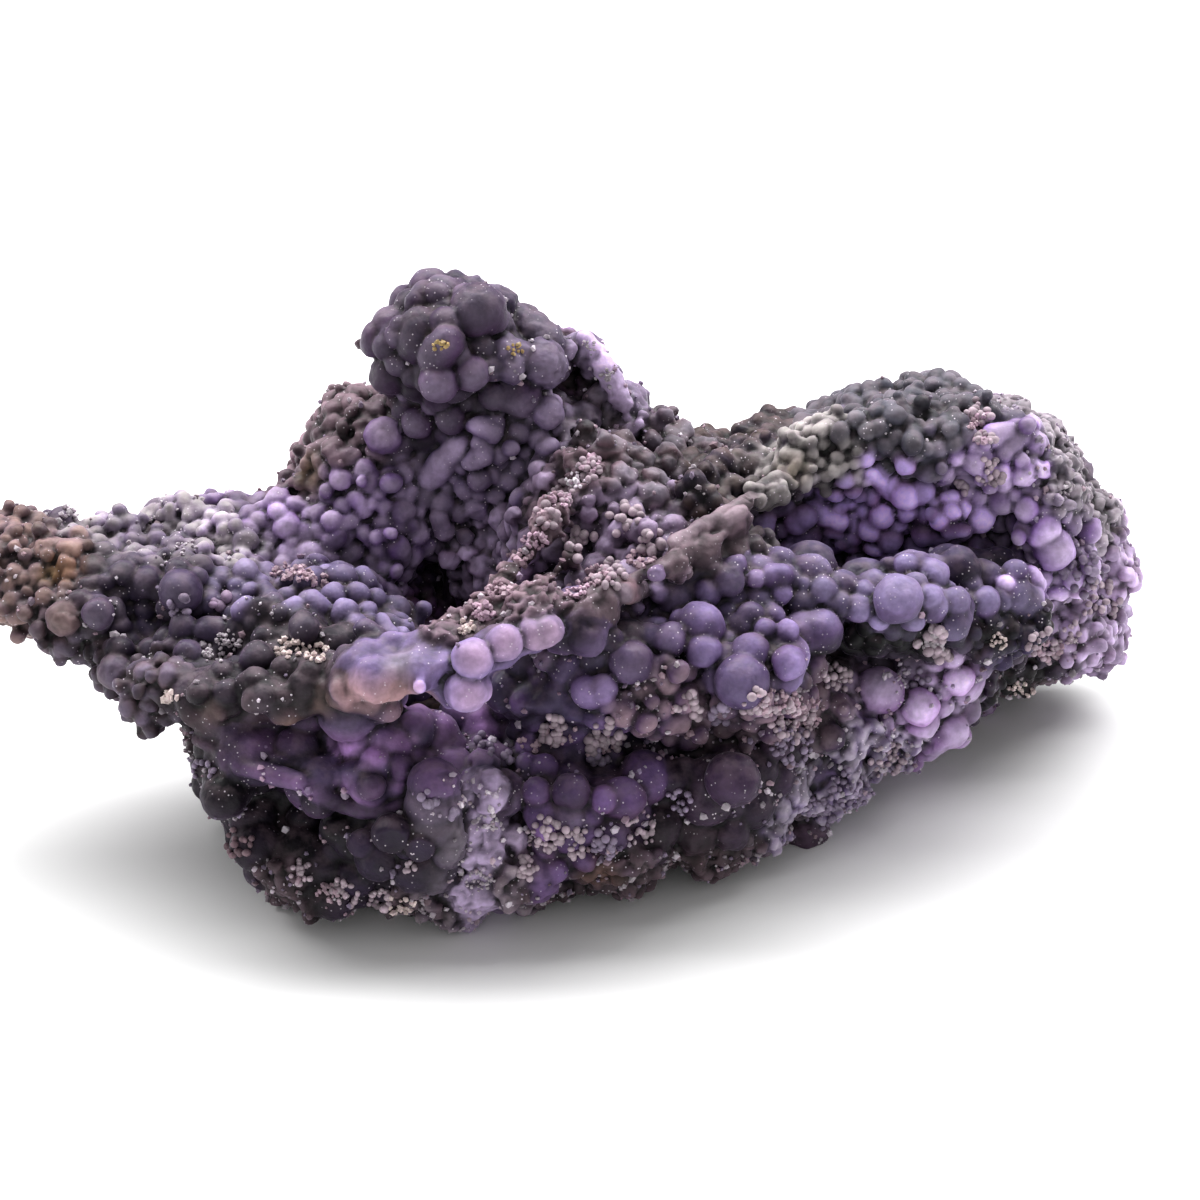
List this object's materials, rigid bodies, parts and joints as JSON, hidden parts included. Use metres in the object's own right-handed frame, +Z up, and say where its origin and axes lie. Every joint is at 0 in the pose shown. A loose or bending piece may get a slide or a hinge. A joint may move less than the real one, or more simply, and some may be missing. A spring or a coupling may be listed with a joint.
{
  "type": "grape agate",
  "caption": "Natural specimen of botryoidal purple chalcedony: a peak, a long curved ridge and a hump, all covered in small round grape-like spheres.",
  "frame": {"origin": "centre of the bounding box along X and Y, on the surface that the stone lies on", "axes": "+X along the stone's length, to the right in the picture; -Y towards the side that the picture shows; +Z up"},
  "size_m": [0.1692, 0.0888, 0.0728],
  "materials": {
    "chalcedony": "matte to waxy, with small crystals and rough crusts"
  },
  "bodies": {
    "root": {"grape_agate": "chalcedony"}
  },
  "joints": []
}
